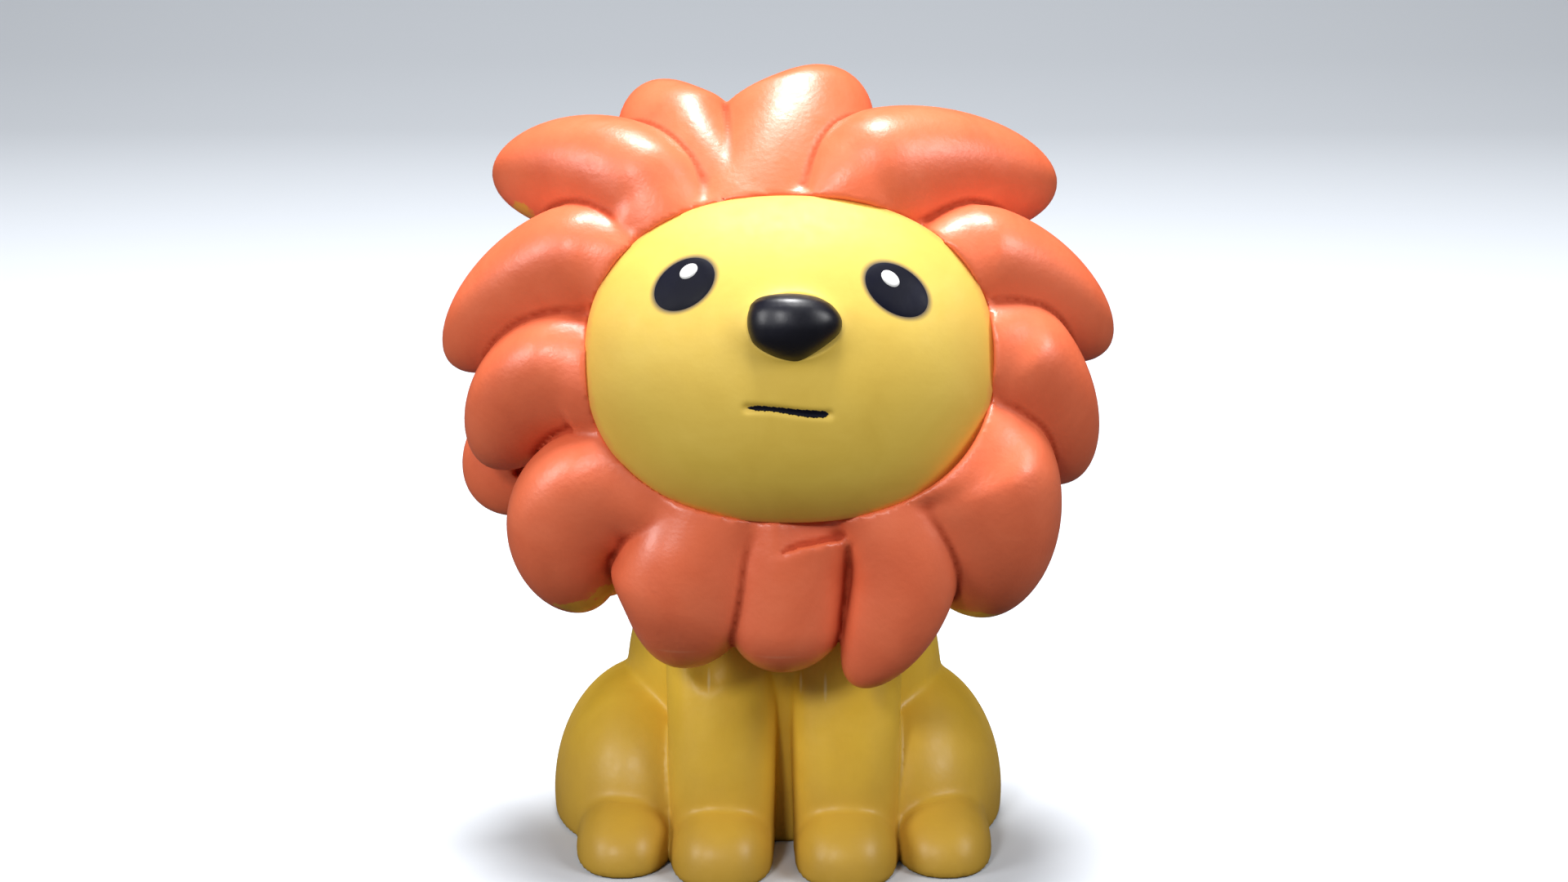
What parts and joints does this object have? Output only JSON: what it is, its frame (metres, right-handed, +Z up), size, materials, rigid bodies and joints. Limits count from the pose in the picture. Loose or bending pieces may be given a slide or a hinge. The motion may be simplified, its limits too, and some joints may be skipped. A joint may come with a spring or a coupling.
{
  "type": "lion dog toy",
  "caption": "Seated lion dog toy in hollow rubber, with a mane of fat locks, a squeaker in its base, a body that squeezes down and a head that nods on its neck.",
  "frame": {"origin": "middle of the toy's box, on the table it sits on", "axes": "+Z up, and the face looks along -Y, so +X is the toy's left side"},
  "size_m": [0.0627, 0.0456, 0.0747],
  "materials": {
    "yellow_rubber": "unpainted cast rubber, satin",
    "face_rubber": "unpainted cast rubber, satin, lighter on the dome of the face",
    "orange_paint": "sprayed flexible paint over the rubber, satin",
    "black_paint": "glossy flexible paint over the rubber",
    "white_paint": "flexible paint dot",
    "white_plastic": "moulded plastic, satin",
    "clear_plastic": "thin springy plastic strip"
  },
  "bodies": {
    "body": {"body_skin": "yellow_rubber", "tail_tuft": "orange_paint", "squeaker_barrel": "white_plastic", "tone_block": "white_plastic", "reed_clamp": "white_plastic"},
    "reed": {"reed": "clear_plastic"},
    "neck": {"neck_skin": "yellow_rubber"},
    "head": {"mane_skin": "orange_paint", "face_skin": "face_rubber", "nose": "black_paint", "eye_left": "black_paint", "eye_right": "black_paint", "eye_glint_left": "white_paint", "eye_glint_right": "white_paint", "mouth_line": "black_paint"}
  },
  "joints": [
    {"name": "squeeze", "type": "slide", "parent": "body", "child": "neck", "axis": [0, 0, -1], "range_m": [0, 0.007], "stiffness_N_per_m": 2000, "springref_m": -0.0003, "deforming": ["body_skin", "tail_tuft"]},
    {"name": "head_nod", "type": "hinge", "parent": "neck", "child": "head", "pos_m": [0.0006, 0.0014, 0.0325], "axis": [1, 0, 0], "range_deg": [-6, 8], "stiffness_Nm_per_rad": 0.3, "springref_deg": -0.17},
    {"name": "reed_flex", "type": "hinge", "parent": "body", "child": "reed", "pos_m": [0.0006, 0.0075, 0.0084], "axis": [1, 0, 0], "range_deg": [-3, 3], "stiffness_Nm_per_rad": 0.002}
  ]
}
